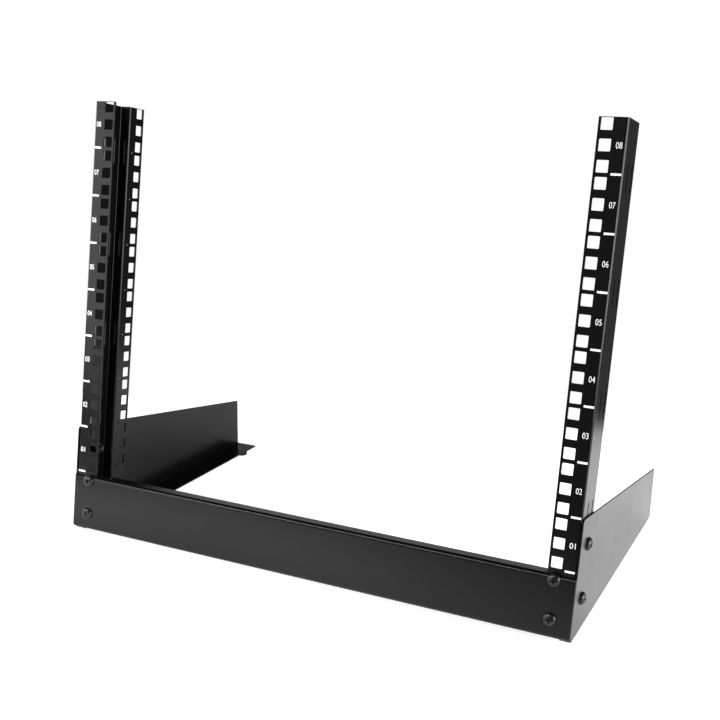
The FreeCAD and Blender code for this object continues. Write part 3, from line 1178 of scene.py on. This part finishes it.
@dataclass(frozen=True)
class PictureCamera:
    """The camera, where the picture was taken from.

    The tilt, the roll and the heading turn it in degrees about the X, Y and Z axes.
    """

    place: tuple[float, float, float] = (0.43884, -0.94779, 0.44100)
    tilt: float = 73.8948
    roll: float = -0.8784
    heading: float = 26.5722
    sensor: float = 36.0
    lens: float = 55.505
    shift: tuple[float, float] = (0.02396, 0.05016)
    nearest: float = 10.0 * MM

    def build(self) -> None:
        """Add the camera and make it the scene's own."""
        data = bpy.data.cameras.new("picture_camera")
        data.sensor_width = self.sensor
        data.lens = self.lens
        data.shift_x, data.shift_y = self.shift
        data.clip_start = self.nearest
        camera = add_object("picture_camera", data)
        camera.location = self.place
        camera.rotation_euler = [math.radians(angle) for angle in (self.tilt, self.roll, self.heading)]
        bpy.context.scene.camera = camera


@dataclass
class Studio:
    """An oval white floor, a white surround, soft lights and the picture's camera."""

    floor_size: tuple[float, float] = (1.1, 0.47)
    floor_turn: float = math.radians(10)
    floor_middle: tuple[float, float] = (0.05, -0.05)
    floor_sides: int = 96
    camera: PictureCamera = PictureCamera()
    lights: tuple[SoftBox, ...] = (
        SoftBox(
            "front_left_light",
            place=(-1.15, -1.38, 0.53),
            aim=(0.0, 0.0, 0.3),
            size=(0.6, 0.8),
            radiance=3.0,
        ),
        SoftBox(
            "left_light",
            place=(-1.5, -0.2, 0.45),
            aim=(0.0, -0.1, 0.25),
            size=(1.2, 0.6),
            radiance=4.8,
        ),
        SoftBox(
            "right_light",
            place=(1.4, -0.1, 0.4),
            aim=(0.0, -0.1, 0.25),
            size=(1.6, 0.6),
            radiance=7.5,
        ),
        SoftBox(
            "right_floor_light",
            place=(0.62, 0.1, 0.55),
            aim=(0.38, 0.06, 0.0),
            size=(0.35, 0.35),
            radiance=3.5,
            mirrored=False,
        ),
        SoftBox(
            "front_floor_light",
            place=(-0.3, -0.6, 0.4),
            aim=(-0.2, -0.37, 0.0),
            size=(0.3, 0.3),
            radiance=12.0,
            mirrored=False,
        ),
        SoftBox(
            "high_front_light",
            place=(-0.8, -1.35, 1.5),
            aim=(0.0, 0.0, 0.2),
            size=(1.5, 0.2),
            radiance=20.0,
        ),
        SoftBox(
            "front_fill",
            place=(-0.1, -2.2, 0.3),
            aim=(0.0, 0.0, 0.25),
            size=(1.6, 1.4),
            radiance=0.13,
        ),
        SoftBox(
            "rear_left_fill",
            place=(-0.8, 1.9, 0.4),
            aim=(-0.1, 0.0, 0.2),
            size=(2.2, 0.45),
            radiance=0.6,
        ),
        SoftBox(
            "rear_fill",
            place=(0.7, 1.9, 0.3),
            aim=(0.1, 0.0, 0.25),
            size=(1.8, 1.4),
            radiance=0.08,
        ),
    )

    def build(self) -> None:
        """Build the floor, the surround, the lights and the camera."""
        self.lay_floor()
        self.surround()
        for light in self.lights:
            light.build()
        self.camera.build()

    def lay_floor(self) -> None:
        """Lay the oval floor."""
        shape = bmesh.new()
        bmesh.ops.create_circle(shape, cap_ends=True, radius=1.0, segments=self.floor_sides)
        bmesh.ops.scale(shape, vec=(*self.floor_size, 1.0), verts=shape.verts)
        turn = Matrix.Rotation(self.floor_turn, 3, "Z")
        bmesh.ops.rotate(shape, cent=(0, 0, 0), matrix=turn, verts=shape.verts)
        bmesh.ops.translate(shape, vec=(*self.floor_middle, 0.0), verts=shape.verts)
        mesh = as_mesh("studio_floor", shape)
        mesh.materials.append(PaleFloor().make())
        floor = add_object("studio_floor", mesh)

    def surround(self) -> None:
        """Make the world plain white for the camera and dark for reflections."""
        world = bpy.data.worlds.new("studio_surround")
        world.use_nodes = True
        background = world.node_tree.nodes["Background"]
        background.inputs["Color"].default_value = grey(1.0)
        background.inputs["Strength"].default_value = 1.0
        world.cycles_visibility.glossy = False
        world.cycles_visibility.diffuse = False
        bpy.context.scene.world = world
        view = bpy.context.scene.view_settings
        view.view_transform = "Standard"
        view.look = "None"


def main() -> None:
    """Build every piece in order and note each part as it is done."""
    logging.basicConfig(level=logging.INFO, format="%(name)s: %(message)s")
    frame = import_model()
    rack = RackFrame(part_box("left_leg"))
    shop = Workshop(frame["nodes"])
    for part in (FormedSheets(), UnitPrinting(rack), Fasteners(rack), RubberFeet()):
        part.build(shop)
        log.info("%s done", type(part).__name__)
    Studio().build()


if __name__ == "__main__":
    main()
